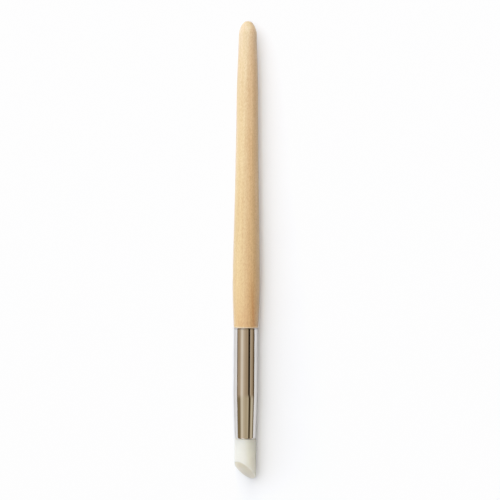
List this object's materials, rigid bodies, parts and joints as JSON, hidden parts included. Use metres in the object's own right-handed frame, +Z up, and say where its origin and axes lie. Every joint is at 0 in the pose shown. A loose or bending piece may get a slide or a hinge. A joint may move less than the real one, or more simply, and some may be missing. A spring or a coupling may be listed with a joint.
{
  "type": "clay shaper tool",
  "caption": "Hand tool for modelling clay: tapered round wooden handle, polished metal ferrule and a soft silicone tip cut off at a slant.",
  "frame": {"origin": "middle of the bounding box's underside: on the surface the tool lies on, under its axis, halfway between the butt and the toe of the tip", "axes": "+Y along the tool's axis from the tip to the butt, +Z up, +X to the right for someone looking down with the butt away from them"},
  "size_m": [0.0108, 0.18, 0.0107],
  "materials": {
    "handle_wood": "fine-grained pale hardwood, sanded smooth under a thin satin clear coat",
    "ferrule_nickel": "polished nickel plate on drawn brass sheet",
    "tip_silicone": "matt, slightly translucent off-white silicone",
    "cured_adhesive": "cured amber adhesive, hidden inside the ferrule"
  },
  "bodies": {
    "root": {"handle": "handle_wood", "ferrule": "ferrule_nickel", "shaper_tip": "tip_silicone", "handle_adhesive": "cured_adhesive", "tip_adhesive": "cured_adhesive"}
  },
  "joints": []
}
